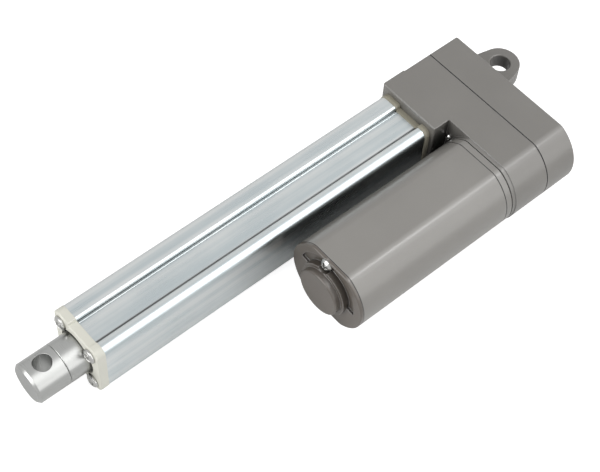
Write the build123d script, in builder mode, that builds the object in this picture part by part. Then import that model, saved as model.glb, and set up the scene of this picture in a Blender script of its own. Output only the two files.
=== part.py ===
"""Electric linear actuator: a motor beside a screw tube, geared together in a cast block.

Frame: the origin is the centre of the rear lug's pin hole, +X runs along the rod as it
extends, +Y from the screw to the motor, +Z along the pin holes. Millimetres.
"""
import os
from math import acos, atan2, cos, pi, sin, sqrt, tan

from build123d import *

os.makedirs("parts", exist_ok=True)

# Travel and end fixings
stroke = 150.0
rod_radius = 10.0
rod_bore_radius = 7.5
lug_hole_radius = 5.1
lug_radius = 9.9
lug_thickness = 8.5
lug_foot_half_width = 14.3
lug_hole_chamfer = 0.4
eye_hole_radius = 4.4
rod_show = 10.0
eye_nose = 9.0
eye_shoulder = 7.5
eye_spigot_length = 16.0
eye_chamfer = 1.2
seam_chamfer = 0.3

# Gearbox block, across
half_height = 19.5
half_width = 18.0
end_reach = 23.6
end_arc_radius = 21.4
crease_radius = 6.0
corner_radius = 1.2
edge_round = 0.8
seam_round = 0.3
shell_chamfer = 0.2
smallest_corner = 0.4
block_wall = 2.4

# Gearbox block, along X
cover_back = 16.0
cover_wall = 3.5
cover_depth = 19.0
gasket_thickness = 0.4
gasket_inset = 0.3
motor_gasket_inset = 0.5
motor_gasket_width = 3.5
housing_depth = 16.8
floor_thickness = 4.0
motor_seat_height = 2.0
tube_seat_height = 9.5

# Motor, outside
motor_reach = 23.2
motor_half_height = 19.1
motor_arc_radius = 21.0
motor_wall = 1.6
flange_thickness = 3.6
motor_length = 90.4
end_cap_thickness = 1.8
spigot_length = 2.5
spigot_wall = 2.2
spigot_gap = 0.1
boss_radius = 12.1
boss_height = 5.5
collar_radius = 13.9
collar_height = 2.3
pocket_radius = 18.2
pocket_depth = 1.3
pocket_tilt = -12.0
pocket_chord = 3.0
bolt_head_gap = 0.5
motor_bolt_circle = 15.6
motor_bolt_angle = 96.0

# Tube, cap and rod guide
tube_half = 15.6
tube_corner_radius = 3.5
panel_centre = 2.4
panel_half_width = 7.4
panel_depth = 2.3
tube_bore_radius = 11.2
tube_screw_offset = 10.6
collar_thickness = 3.0
tube_nose_length = 8.0
cap_thickness = 4.5
cap_overhang = 0.25
cap_panel_depth = 1.2
cap_round = 0.6
cap_bore_radius = 11.3
rod_bush_length = 9.0
wiper_length = 3.0

# Gear train: motor pinion, compound idler, screw gear
pressure_angle = 25.0 * pi / 180.0
fast_module = 1.0
pinion_teeth = 13
idler_large_teeth = 31
slow_module = 1.25
idler_small_teeth = 12
screw_gear_teeth = 22
tooth_thinning = 0.06
root_depth = 1.25
root_overlap = 0.3
root_step = 0.05
fast_face = 7.0
slow_face = 9.0
face_overlap = 0.5
gear_side_gap = 0.5
gear_floor_gap = 2.0
hub_radius = 8.0
hub_length = 5.0
idler_hub_length = 1.0
idler_pin_radius = 2.5
boss_wall = 2.0
gear_end_gap = 0.2
gear_pin_radius = 1.25
gear_pin_inset = 0.3

# Screw, bearing and nut
journal_radius = 4.0
screw_radius = 6.0
spacer_wall = 0.5
bearing_radius = 9.5
bearing_width = 6.0
bearing_setback = 2.0
inner_race_radius = 5.6
outer_race_radius = 8.0
ball_radius = 1.6
ball_count = 8
circlip_thickness = 1.2
circlip_groove = 0.5
circlip_reach = 1.2
circlip_mouth = 4.0
cage_gap = 0.4
cage_setback = 0.5
screw_pass_gap = 0.5
rear_bush_radius = 6.0
rear_bush_length = 6.5
bush_floor_gap = 0.5
screw_tip_gap = 2.0
nut_length = 19.0
nut_flange_length = 9.0
guide_length = 14.0
nut_setback = 6.5
over_travel = 4.0
nut_chamfer = 0.6
screw_tip_chamfer = 0.5
stop_washer_length = 2.5
tenon_radius = 3.0
running_gap = 0.05

# Limit switches in the tube's channel
channel_half_width = 4.0
channel_floor = 12.2
board_thickness = 0.6
switch_length = 4.2
switch_height = 1.35
switch_half_width = 3.0
plunger_radius = 0.45
plunger_reach = 1.3
plunger_travel = 0.5
plunger_grip = 2.0
switch_floor_gap = 0.1
plunger_rest_gap = 0.3
channel_side_gap = 0.1
key_floor_gap = 0.2

# Motor, inside
shaft_radius = 2.5
shaft_pass_gap = 0.5
pilot_gap = 0.1
core_radius = 13.2
core_length = 44.0
core_setback = 12.0
air_gap = 0.5
magnet_half_angle = 50.0
magnet_overhang = 2.0
slot_count = 5
slot_circle = 8.4
slot_radius = 3.2
slot_mouth = 2.0
winding_gap = 0.2
winding_overhang = 7.0
winding_radius = 11.8
winding_round = 2.0
commutator_radius = 5.5
commutator_length = 9.0
commutator_setback = 1.0
commutator_slit_depth = 0.8
commutator_slit_width = 0.5
holder_thickness = 3.0
brush_box_length = 10.0
brush_box_wall = 1.2
brush_width = 6.0
brush_height = 5.0
brush_length = 7.5
brush_gap = 0.1
brush_box_gap = 1.0
brush_box_overreach = 2.0
bush_radius = 5.0
bush_length = 7.0
bush_wall = 1.5
bush_boss_lip = 2.0
shaft_end_gap = 1.0
shaft_chamfer = 0.4
rear_bush_depth = 4.5

# Fasteners
cover_screw_radius = 1.6
cover_screw_head = 3.0
cover_post_radius = 3.4
post_overlap = 0.4
end_post_overlap = 1.0
end_post_angle = 38.0 * pi / 180.0
cover_screw_sink = 2.2
cover_screw_grip = 11.0
cover_screw_head_gap = 0.2
hole_end_gap = 1.0
tube_screw_head = 3.6
tube_screw_shank = 1.65
tube_screw_grip = 10.0
tube_screw_sink = 3.0
tube_screw_head_height = 2.4
cap_screw_height = 2.2
notch_screw_head = 1.8
notch_screw_shank = 1.0
notch_screw_height = 1.5
plate_width = 9.0
plate_height = 21.4
notch_screw_spacing = 17.0
notch_screw_inset = 1.9
plate_corner = 2.0
motor_bolt_head = 3.0
motor_bolt_shank = 1.5
motor_bolt_grip = 4.5
bolt_end_gap = 0.5
motor_bolt_head_height = 3.0
screw_hole_gap = 0.2
screw_tip_taper = 0.4
grommet_flange = 3.0
grommet_radius = 2.0
grommet_bore = 1.2
grommet_lip = 1.2
grommet_drop = 13.9
grommet_wall_gap = 0.3

# Places along X, from the sizes above
cover_front = cover_back + cover_depth - gasket_thickness / 2
housing_back = cover_front + gasket_thickness
cavity_end = housing_back + housing_depth
notch_floor = cavity_end + floor_thickness
motor_seat = notch_floor + motor_seat_height
tube_seat = notch_floor + tube_seat_height
flange_back = motor_seat + gasket_thickness
motor_front = flange_back + flange_thickness
motor_end = motor_front + motor_length
cap_face = motor_end + end_cap_thickness
boss_face = cap_face + boss_height
bolt_seat = cap_face - pocket_depth
tube_back = tube_seat + collar_thickness
tube_length = nut_setback + nut_length + stroke + over_travel + tube_nose_length
tube_front = tube_back + tube_length
cap_front = tube_front + cap_thickness
eye_back = cap_front + rod_show
eye_hole_station = eye_back + eye_shoulder
rod_tip = eye_hole_station + eye_nose

# Gear centres and tooth sizes
fast_pinion_pitch = fast_module * pinion_teeth / 2
fast_idler_pitch = fast_module * idler_large_teeth / 2
slow_idler_pitch = slow_module * idler_small_teeth / 2
slow_screw_pitch = slow_module * screw_gear_teeth / 2
idler_offset = slow_idler_pitch + slow_screw_pitch
motor_offset = idler_offset + fast_pinion_pitch + fast_idler_pitch

# Gears along X
fast_front = cavity_end - gear_floor_gap
fast_back = fast_front - fast_face
screw_gear_front = fast_back - face_overlap
screw_gear_back = screw_gear_front - slow_face
idler_back = screw_gear_back - idler_hub_length
plate_back = fast_front + gear_side_gap

# Screw and nut along X
bearing_back = cavity_end + bearing_setback
bearing_front = bearing_back + bearing_width
nut_back = tube_back + nut_setback
nut_front = nut_back + nut_length
rod_back = nut_back + nut_flange_length
stop_washer_back = nut_front + stroke + over_travel
guide_front = nut_back + guide_length
bush_back = tube_front - rod_bush_length
bush_seat = cover_back + cover_wall + bush_floor_gap
screw_rear_end = bush_seat + screw_tip_gap
guide_key_top = channel_floor - key_floor_gap
switch_level = board_thickness + switch_height / 2 - channel_floor
rear_switch_front = nut_back - plunger_rest_gap - plunger_reach
front_switch_back = guide_front + stroke + plunger_rest_gap + plunger_reach
plunger_length = plunger_reach + plunger_grip

# Motor along X
core_back = motor_front + core_setback
core_front = core_back + core_length
holder_front = motor_end - spigot_length
holder_back = holder_front - holder_thickness
commutator_front = holder_back - commutator_setback
front_bush_back = motor_front - bush_length
front_bush_boss = front_bush_back - bush_boss_lip
rear_bush_front = motor_end + rear_bush_depth
rear_bush_back = rear_bush_front - bush_length
shaft_end = rear_bush_front - shaft_end_gap

# Fastener places, across
corner_post_inset = block_wall + cover_post_radius - post_overlap
end_arc_centre = motor_offset + end_reach - end_arc_radius
end_post_circle = end_arc_radius - block_wall - cover_post_radius + end_post_overlap
cover_screw_points = [
    (y, side * z)
    for y, z in (
        (corner_post_inset - half_width, half_height - corner_post_inset),
        (
            end_arc_centre + end_post_circle * cos(end_post_angle),
            end_post_circle * sin(end_post_angle),
        ),
    )
    for side in (-1, 1)
]
tube_screw_points = [
    (side * tube_screw_offset, rise * tube_screw_offset) for side in (-1, 1) for rise in (-1, 1)
]
notch_screw_points = [(half_width + notch_screw_inset, rise * notch_screw_spacing / 2) for rise in (-1, 1)]
motor_bolt_points = [
    (
        motor_offset + motor_bolt_circle * cos((motor_bolt_angle + turn) * pi / 180),
        motor_bolt_circle * sin((motor_bolt_angle + turn) * pi / 180),
    )
    for turn in (0, 180)
]
grommet_point = (half_width + grommet_flange + grommet_wall_gap, -grommet_drop)


def station(x):
    """The cross-section plane at x: its own x is +Y, its own y is +Z."""
    return Plane.YZ.offset(x)


def block_profile(inset):
    """A rectangle about the screw that runs into the flat-sided round end about the motor."""
    left = -(half_width - inset)
    arc_centre = motor_offset + end_reach - end_arc_radius
    with BuildSketch(Plane.XY) as outline:
        with Locations((arc_centre, 0)):
            Circle(end_arc_radius - inset)
            Rectangle(4 * end_reach, 2 * (half_height - inset), mode=Mode.INTERSECT)
        creases = outline.vertices().sort_by(Axis.X)[-2:]
        fillet(creases, crease_radius)
        with Locations(((left + arc_centre) / 2, 0)):
            Rectangle(arc_centre - left, 2 * (half_height - inset))
        corners = outline.vertices().sort_by(Axis.X)[:2]
        fillet(corners, max(corner_radius - inset, smallest_corner))
    return outline.sketch


def motor_profile(inset):
    """Two wide arcs either side of the motor's axis, cut by a flat above and below."""
    spread = motor_reach - motor_arc_radius
    with BuildSketch(Plane.XY) as outline:
        with Locations((motor_offset - spread, 0), (motor_offset + spread, 0)):
            Circle(motor_arc_radius - inset)
        with Locations((motor_offset, 0)):
            Rectangle(2 * spread, 2 * (motor_arc_radius - inset))
            Rectangle(4 * motor_reach, 2 * (motor_half_height - inset), mode=Mode.INTERSECT)
        creases = [v for v in outline.vertices() if abs(abs(v.Y) - motor_half_height + inset) < 0.01]
        creases = [v for v in creases if abs(v.X - motor_offset) > 2 * spread]
        fillet(creases, crease_radius)
    return outline.sketch


def tube_profile(grow, depth):
    """A rounded square with a shallow recess above and below, nearer the motor than the middle."""
    half = tube_half + grow
    panel = half - depth
    with BuildSketch(Plane.XY) as outline:
        RectangleRounded(2 * half, 2 * half, tube_corner_radius + grow)
        with Locations((panel_centre, panel + half), (panel_centre, -panel - half)):
            Rectangle(2 * panel_half_width, 2 * half, mode=Mode.SUBTRACT)
        steps = [v for v in outline.vertices() if abs(abs(v.X - panel_centre) - panel_half_width) < 0.01]
        rims = [v for v in steps if abs(v.Y) > panel + depth / 2]
        feet = [v for v in steps if abs(v.Y) < panel + depth / 2]
        fillet([v for v in rims if v.X < panel_centre], 0.7 * depth)
        fillet([v for v in rims if v.X > panel_centre], 0.3 * depth)
        fillet(feet, 0.1 * depth)
    return outline.sketch


def gear_profile(teeth, module, phase):
    """A spur gear about the origin with one tooth centred on the phase angle, in degrees."""
    pitch = module * teeth / 2
    base = pitch * cos(pressure_angle)
    root = pitch - root_depth * module
    tip = pitch + module
    pitch_half_angle = pi / (2 * teeth) - tooth_thinning / (2 * pitch)

    def half_angle(radius):
        """Half of the tooth's angle at a radius, by the involute of the base circle."""
        slope = acos(min(1.0, base / radius))
        return pitch_half_angle + tan(pressure_angle) - pressure_angle - tan(slope) + slope

    def flank(radius, side):
        angle = half_angle(radius)
        return (radius * cos(angle), side * radius * sin(angle))

    start = max(base, root + root_step)
    middle = (start + tip) / 2
    inner = (root - root_overlap) / start
    with BuildSketch(Plane.XY) as tooth:
        with BuildLine():
            foot = flank(start, -1)
            head = flank(start, 1)
            Line((foot[0] * inner, foot[1] * inner), foot)
            ThreePointArc(foot, flank(middle, -1), flank(tip, -1))
            ThreePointArc(flank(tip, -1), (tip, 0), flank(tip, 1))
            ThreePointArc(flank(tip, 1), flank(middle, 1), head)
            Line(head, (head[0] * inner, head[1] * inner))
            Line((head[0] * inner, head[1] * inner), (foot[0] * inner, foot[1] * inner))
        make_face()
    with BuildSketch(Plane.XY) as outline:
        Circle(root)
        with PolarLocations(0, teeth, start_angle=phase):
            add(tooth.sketch)
    return outline.sketch


def pan_screw(head_radius, head_height, shank_radius, length):
    """A cross-recessed pan-head screw: its head stands on x = 0 and its shank runs back."""
    rim = 0.4 * head_height
    shoulder = (0.86 * head_height, 0.6 * head_radius)
    recess_length = 1.1 * head_radius
    recess_width = 0.28 * head_radius
    with BuildPart() as screw:
        with BuildSketch(Plane.XZ):
            with BuildLine():
                Polyline(
                    (rim, head_radius),
                    (0, head_radius),
                    (0, shank_radius),
                    (screw_tip_taper - length, shank_radius),
                    (-length, shank_radius - screw_tip_taper),
                    (-length, 0),
                    (head_height, 0),
                )
                ThreePointArc((head_height, 0), shoulder, (rim, head_radius))
            make_face()
        revolve(axis=Axis.X)
        with BuildSketch(station(0.45 * head_height)):
            Rectangle(recess_length, recess_width)
            Rectangle(recess_width, recess_length)
        extrude(amount=head_height, mode=Mode.SUBTRACT)
    return screw.part


def rear_facing(screw):
    """A screw turned end for end, so that its head faces -X from x = 0."""
    return screw.rotate(Axis.Z, 180)


def tooth_space(teeth):
    """The phase in degrees that puts a space between teeth, not a tooth, on the +Y side."""
    return 180.0 / teeth


block_outer = block_profile(0.0)
block_inner = block_profile(block_wall)
motor_outer = motor_profile(0.0)
motor_inner = motor_profile(motor_wall)
tube_outer = tube_profile(0.0, panel_depth)
collar_outer = tube_profile(cap_overhang, panel_depth)
cap_outer = tube_profile(cap_overhang, cap_panel_depth)


# Gearbox block

with BuildPart() as rear_cover:
    cover_floor = cover_back + cover_wall
    with BuildSketch(station(cover_back)):
        add(block_outer)
    extrude(amount=cover_front - cover_back)
    fillet(rear_cover.faces().sort_by(Axis.X)[0].edges(), edge_round)
    with BuildSketch(station(cover_floor)):
        add(block_inner)
    extrude(amount=cover_front - cover_floor, mode=Mode.SUBTRACT)
    # The lug: a round eye whose flanks run out at a tangent to a wide foot
    foot_x = cover_back + cover_wall / 2
    foot_angle = atan2(lug_foot_half_width, foot_x)
    foot_distance = sqrt(foot_x**2 + lug_foot_half_width**2)
    touch_angle = foot_angle + acos(lug_radius / foot_distance)
    touch = (lug_radius * cos(touch_angle), lug_radius * sin(touch_angle))
    foot = (foot_x, lug_foot_half_width)
    with BuildSketch(Plane.XY.offset(-lug_thickness / 2)):
        Circle(lug_radius)
        with BuildLine():
            Polyline((0, 0), touch, foot, (foot[0], -foot[1]), (touch[0], -touch[1]), close=True)
        make_face()
    extrude(amount=lug_thickness)
    # Bosses for the idler's pin and the screw's rear bush, and posts for the screws
    with BuildSketch(station(foot_x)):
        with Locations((idler_offset, 0)):
            Circle(idler_pin_radius + boss_wall)
    extrude(amount=idler_back - gear_end_gap - foot_x)
    with BuildSketch(station(foot_x)):
        Circle(rear_bush_radius + boss_wall)
    extrude(amount=bush_seat + rear_bush_length - foot_x)
    with BuildSketch(station(foot_x)):
        with Locations(*cover_screw_points):
            Circle(cover_post_radius)
        add(block_outer, mode=Mode.INTERSECT)
    extrude(amount=cover_front - foot_x)
    with BuildSketch(station(cover_back)):
        with Locations(*cover_screw_points):
            Circle(cover_screw_radius + screw_hole_gap)
    extrude(amount=cover_depth, mode=Mode.SUBTRACT)
    with BuildSketch(station(cover_back)):
        with Locations(*cover_screw_points):
            Circle(cover_screw_head + screw_hole_gap)
    extrude(amount=cover_screw_sink, mode=Mode.SUBTRACT)
    with BuildSketch(station(bush_seat)):
        Circle(rear_bush_radius)
        with Locations((idler_offset, 0)):
            Circle(idler_pin_radius)
    extrude(amount=cover_depth, mode=Mode.SUBTRACT)
    with BuildSketch(Plane.XY):
        Circle(lug_hole_radius)
    extrude(amount=lug_thickness, both=True, mode=Mode.SUBTRACT)
    round_edges = rear_cover.edges().filter_by(GeomType.CIRCLE)
    chamfer(round_edges.filter_by(lambda e: abs(e.radius - lug_hole_radius) < 0.01), lug_hole_chamfer)
rear_cover.part.label = "rear_cover"
export_step(rear_cover.part, "parts/rear_cover.step")

with BuildPart() as cover_gasket:
    with BuildSketch(station(cover_front)):
        add(block_outer)
        add(block_inner, mode=Mode.SUBTRACT)
        with Locations(*cover_screw_points):
            Circle(cover_post_radius)
        add(block_profile(gasket_inset), mode=Mode.INTERSECT)
        with Locations(*cover_screw_points):
            Circle(cover_screw_radius + screw_hole_gap, mode=Mode.SUBTRACT)
    extrude(amount=gasket_thickness)
cover_gasket.part.label = "cover_gasket"
export_step(cover_gasket.part, "parts/cover_gasket.step")

with BuildPart() as gear_housing:
    with BuildSketch(station(housing_back)):
        add(block_outer)
    extrude(amount=notch_floor - housing_back)
    # The motor's seat, on the motor's own outline, and the deeper block that holds the tube
    with BuildSketch(station(cavity_end)):
        add(motor_outer)
    extrude(amount=motor_seat - cavity_end)
    with BuildSketch(station(cavity_end)):
        Rectangle(2 * half_width, 2 * half_height)
    extrude(amount=tube_seat - cavity_end)
    fillet(gear_housing.faces().sort_by(Axis.X)[-1].edges(), edge_round)
    with BuildSketch(station(housing_back)):
        add(block_inner)
    extrude(amount=housing_depth, mode=Mode.SUBTRACT)
    with BuildSketch(station(housing_back)):
        with Locations(*cover_screw_points):
            Circle(cover_post_radius)
        add(block_outer, mode=Mode.INTERSECT)
    extrude(amount=housing_depth)
    with BuildSketch(station(housing_back)):
        with Locations(*cover_screw_points):
            Circle(cover_screw_radius)
    extrude(amount=cover_screw_grip, mode=Mode.SUBTRACT)
    # The screw's way through, its bearing seat and the retaining ring's groove
    with BuildSketch(station(cavity_end)):
        Circle(journal_radius + spacer_wall + screw_pass_gap)
    extrude(amount=bearing_back - cavity_end, mode=Mode.SUBTRACT)
    with BuildSketch(station(bearing_back)):
        Circle(bearing_radius)
    extrude(amount=tube_seat - bearing_back, mode=Mode.SUBTRACT)
    with BuildSketch(station(bearing_front)):
        Circle(bearing_radius + circlip_groove)
    extrude(amount=circlip_thickness, mode=Mode.SUBTRACT)
    # Holes through the floor: the motor's pilot, the lead's inlet, screws and bolts
    with BuildSketch(station(cavity_end)):
        with Locations((motor_offset, 0)):
            Circle(bush_radius + bush_wall + pilot_gap)
        with Locations(*notch_screw_points):
            Circle(notch_screw_shank + screw_hole_gap)
        with Locations(grommet_point):
            Circle(grommet_radius)
    extrude(amount=motor_seat - cavity_end, mode=Mode.SUBTRACT)
    with BuildSketch(station(motor_seat)):
        with Locations(*motor_bolt_points):
            Circle(motor_bolt_shank)
    extrude(amount=-motor_bolt_grip, mode=Mode.SUBTRACT)
    with BuildSketch(station(cavity_end)):
        with Locations(*tube_screw_points):
            Circle(tube_screw_shank + screw_hole_gap)
    extrude(amount=tube_seat - cavity_end, mode=Mode.SUBTRACT)
    with BuildSketch(station(cavity_end)):
        with Locations(*tube_screw_points):
            Circle(tube_screw_head + screw_hole_gap)
    extrude(amount=tube_screw_sink, mode=Mode.SUBTRACT)
gear_housing.part.label = "gear_housing"
export_step(gear_housing.part, "parts/gear_housing.step")

with BuildPart() as cover_screws:
    cover_screw_length = housing_back + cover_screw_grip - hole_end_gap - cover_back - cover_screw_sink
    head_height = cover_screw_sink - cover_screw_head_gap
    cover_screw = pan_screw(cover_screw_head, head_height, cover_screw_radius, cover_screw_length)
    with Locations(*[(cover_back + cover_screw_sink, y, z) for y, z in cover_screw_points]):
        add(rear_facing(cover_screw))
cover_screws.part.label = "cover_screws"
export_step(cover_screws.part, "parts/cover_screws.step")

with BuildPart() as idler_plate:
    with BuildSketch(station(plate_back)):
        with Locations((idler_offset, 0)):
            RectangleRounded(plate_width, plate_height, plate_corner)
            Circle(idler_pin_radius, mode=Mode.SUBTRACT)
        with Locations(*notch_screw_points):
            Circle(notch_screw_shank, mode=Mode.SUBTRACT)
    extrude(amount=cavity_end - plate_back)
idler_plate.part.label = "idler_plate"
export_step(idler_plate.part, "parts/idler_plate.step")

with BuildPart() as notch_screws:
    with Locations(*[(notch_floor, y, z) for y, z in notch_screw_points]):
        add(pan_screw(notch_screw_head, notch_screw_height, notch_screw_shank, notch_floor - plate_back))
notch_screws.part.label = "notch_screws"
export_step(notch_screws.part, "parts/notch_screws.step")

with BuildPart() as cable_grommet:
    with BuildSketch(station(cavity_end - grommet_lip)):
        with Locations(grommet_point):
            Circle(grommet_flange)
    extrude(amount=grommet_lip)
    with BuildSketch(station(cavity_end)):
        with Locations(grommet_point):
            Circle(grommet_radius)
    extrude(amount=floor_thickness)
    with BuildSketch(station(notch_floor)):
        with Locations(grommet_point):
            Circle(grommet_flange)
    extrude(amount=grommet_lip)
    fillet(cable_grommet.faces().sort_by(Axis.X)[-1].edges(), grommet_lip / 3)
    with BuildSketch(station(cavity_end - grommet_lip)):
        with Locations(grommet_point):
            Circle(grommet_bore)
    extrude(amount=floor_thickness + 2 * grommet_lip, mode=Mode.SUBTRACT)
cable_grommet.part.label = "cable_grommet"
export_step(cable_grommet.part, "parts/cable_grommet.step")


# Motor casing

with BuildPart() as motor_gasket:
    with BuildSketch(station(motor_seat)):
        add(motor_profile(motor_gasket_inset))
        add(motor_profile(motor_gasket_inset + motor_gasket_width), mode=Mode.SUBTRACT)
        with Locations(*motor_bolt_points):
            Circle(motor_bolt_shank + screw_hole_gap, mode=Mode.SUBTRACT)
    extrude(amount=gasket_thickness)
motor_gasket.part.label = "motor_gasket"
export_step(motor_gasket.part, "parts/motor_gasket.step")

with BuildPart() as motor_flange:
    with BuildSketch(station(flange_back)):
        add(motor_outer)
    extrude(amount=flange_thickness)
    fillet(motor_flange.faces().filter_by(Axis.X).edges(), seam_round)
    # A spigot that centres the shell, and the long boss of the front bush
    with BuildSketch(station(motor_front)):
        add(motor_profile(motor_wall + spigot_gap))
        add(motor_profile(motor_wall + spigot_gap + spigot_wall), mode=Mode.SUBTRACT)
    extrude(amount=spigot_length)
    with BuildSketch(station(front_bush_boss)):
        with Locations((motor_offset, 0)):
            Circle(bush_radius + bush_wall)
    extrude(amount=flange_back - front_bush_boss)
    with BuildSketch(station(front_bush_boss)):
        with Locations((motor_offset, 0)):
            Circle(shaft_radius + shaft_pass_gap)
        with Locations(*motor_bolt_points):
            Circle(motor_bolt_shank + screw_hole_gap)
    extrude(amount=motor_front + spigot_length - front_bush_boss, mode=Mode.SUBTRACT)
    with BuildSketch(station(front_bush_back)):
        with Locations((motor_offset, 0)):
            Circle(bush_radius)
    extrude(amount=bush_length, mode=Mode.SUBTRACT)
motor_flange.part.label = "motor_flange"
export_step(motor_flange.part, "parts/motor_flange.step")

with BuildPart() as motor_housing:
    with BuildSketch(station(motor_front)):
        add(motor_outer)
    extrude(amount=motor_length)
    chamfer(motor_housing.faces().filter_by(Axis.X).edges(), shell_chamfer)
    with BuildSketch(station(motor_front)):
        add(motor_inner)
    extrude(amount=motor_length, mode=Mode.SUBTRACT)
motor_housing.part.label = "motor_housing"
export_step(motor_housing.part, "parts/motor_housing.step")

with BuildPart() as motor_end_cap:
    with BuildSketch(station(motor_end)):
        add(motor_outer)
    extrude(amount=end_cap_thickness)
    fillet(motor_end_cap.faces().sort_by(Axis.X)[-1].edges(), cap_round)
    with BuildSketch(station(holder_front)):
        add(motor_profile(motor_wall + spigot_gap))
    extrude(amount=spigot_length)
    # A crescent pocket round the upper side, then the collar and the boss inside it
    with BuildSketch(station(bolt_seat)):
        with Locations((motor_offset, 0)):
            Circle(pocket_radius)
        with Locations(Location((motor_offset, 0), pocket_tilt)):
            with Locations((0, pocket_radius)):
                Rectangle(2 * pocket_radius, 2 * pocket_radius - pocket_chord, mode=Mode.INTERSECT)
    extrude(amount=pocket_depth, mode=Mode.SUBTRACT)
    with BuildSketch(station(bolt_seat)):
        with Locations((motor_offset, 0)):
            Circle(collar_radius)
    extrude(amount=pocket_depth + collar_height)
    with BuildSketch(station(cap_face)):
        with Locations((motor_offset, 0)):
            Circle(boss_radius)
    extrude(amount=boss_height)
    fillet(motor_end_cap.faces().sort_by(Axis.X)[-1].edges(), edge_round)
    with BuildSketch(station(rear_bush_back)):
        with Locations((motor_offset, 0)):
            Circle(bush_radius + bush_wall)
    extrude(amount=motor_end - rear_bush_back)
    with BuildSketch(station(bolt_seat)):
        with Locations(*motor_bolt_points):
            Circle(motor_bolt_head + bolt_head_gap)
    extrude(amount=boss_height, mode=Mode.SUBTRACT)
    with BuildSketch(station(holder_front)):
        with Locations(*motor_bolt_points):
            Circle(motor_bolt_shank + screw_hole_gap)
    extrude(amount=bolt_seat - holder_front, mode=Mode.SUBTRACT)
    with BuildSketch(station(rear_bush_back)):
        with Locations((motor_offset, 0)):
            Circle(bush_radius)
    extrude(amount=bush_length, mode=Mode.SUBTRACT)
motor_end_cap.part.label = "motor_end_cap"
export_step(motor_end_cap.part, "parts/motor_end_cap.step")

with BuildPart() as motor_bolts:
    motor_bolt_length = bolt_seat - motor_seat + motor_bolt_grip - bolt_end_gap
    with Locations(*[(bolt_seat, y, z) for y, z in motor_bolt_points]):
        add(pan_screw(motor_bolt_head, motor_bolt_head_height, motor_bolt_shank, motor_bolt_length))
motor_bolts.part.label = "motor_bolts"
export_step(motor_bolts.part, "parts/motor_bolts.step")


# Motor, inside

with BuildPart() as motor_bushes:
    for bush_start in (front_bush_back, rear_bush_back):
        with BuildSketch(station(bush_start)):
            with Locations((motor_offset, 0)):
                Circle(bush_radius)
                Circle(shaft_radius + running_gap, mode=Mode.SUBTRACT)
        extrude(amount=bush_length)
motor_bushes.part.label = "motor_bushes"
export_step(motor_bushes.part, "parts/motor_bushes.step")

with BuildPart() as field_magnets:
    wedge_rise = 2 * motor_reach
    wedge_run = wedge_rise / tan(magnet_half_angle * pi / 180)
    with BuildSketch(station(core_back - magnet_overhang)):
        add(motor_inner)
        with Locations((motor_offset, 0)):
            Circle(core_radius + air_gap, mode=Mode.SUBTRACT)
            for rise in (-wedge_rise, wedge_rise):
                Polygon((0, 0), (wedge_run, rise), (-wedge_run, rise), align=None, mode=Mode.SUBTRACT)
    extrude(amount=core_length + 2 * magnet_overhang)
field_magnets.part.label = "field_magnets"
export_step(field_magnets.part, "parts/field_magnets.step")

with BuildPart() as armature_core:
    with BuildSketch(station(core_back)):
        with Locations((motor_offset, 0)):
            Circle(core_radius)
            Circle(shaft_radius, mode=Mode.SUBTRACT)
            with PolarLocations(slot_circle, slot_count):
                Circle(slot_radius, mode=Mode.SUBTRACT)
            with PolarLocations(core_radius, slot_count):
                Rectangle(2 * (core_radius - slot_circle), slot_mouth, mode=Mode.SUBTRACT)
    extrude(amount=core_length)
armature_core.part.label = "armature_core"
export_step(armature_core.part, "parts/armature_core.step")

with BuildPart() as armature_windings:
    with BuildSketch(station(core_back - winding_overhang)):
        with Locations((motor_offset, 0)):
            with PolarLocations(slot_circle, slot_count):
                Circle(slot_radius - winding_gap)
    extrude(amount=core_length + 2 * winding_overhang)
    for coil_start in (core_back - winding_overhang, core_front + winding_gap):
        with BuildSketch(station(coil_start)):
            with Locations((motor_offset, 0)):
                Circle(winding_radius)
                Circle(shaft_radius + winding_gap, mode=Mode.SUBTRACT)
        extrude(amount=winding_overhang - winding_gap)
    rims = armature_windings.edges().filter_by(GeomType.CIRCLE)
    ends = [core_back - winding_overhang, core_front + winding_overhang]
    outer_rims = rims.filter_by(lambda e: abs(e.radius - winding_radius) < 0.01)
    fillet(outer_rims.filter_by(lambda e: min(abs(e.center().X - x) for x in ends) < 0.01), winding_round)
armature_windings.part.label = "armature_windings"
export_step(armature_windings.part, "parts/armature_windings.step")

with BuildPart() as commutator:
    with BuildSketch(station(commutator_front - commutator_length)):
        with Locations((motor_offset, 0)):
            Circle(commutator_radius)
            Circle(shaft_radius, mode=Mode.SUBTRACT)
            with PolarLocations(commutator_radius, slot_count):
                Rectangle(2 * commutator_slit_depth, commutator_slit_width, mode=Mode.SUBTRACT)
    extrude(amount=commutator_length)
commutator.part.label = "commutator"
export_step(commutator.part, "parts/commutator.step")

with BuildPart() as motor_shaft:
    with BuildSketch(station(fast_back)):
        with Locations((motor_offset, 0)):
            Circle(shaft_radius)
    extrude(amount=shaft_end - fast_back)
    chamfer(motor_shaft.faces().filter_by(Axis.X).edges(), shaft_chamfer)
motor_shaft.part.label = "motor_shaft"
export_step(motor_shaft.part, "parts/motor_shaft.step")

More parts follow.
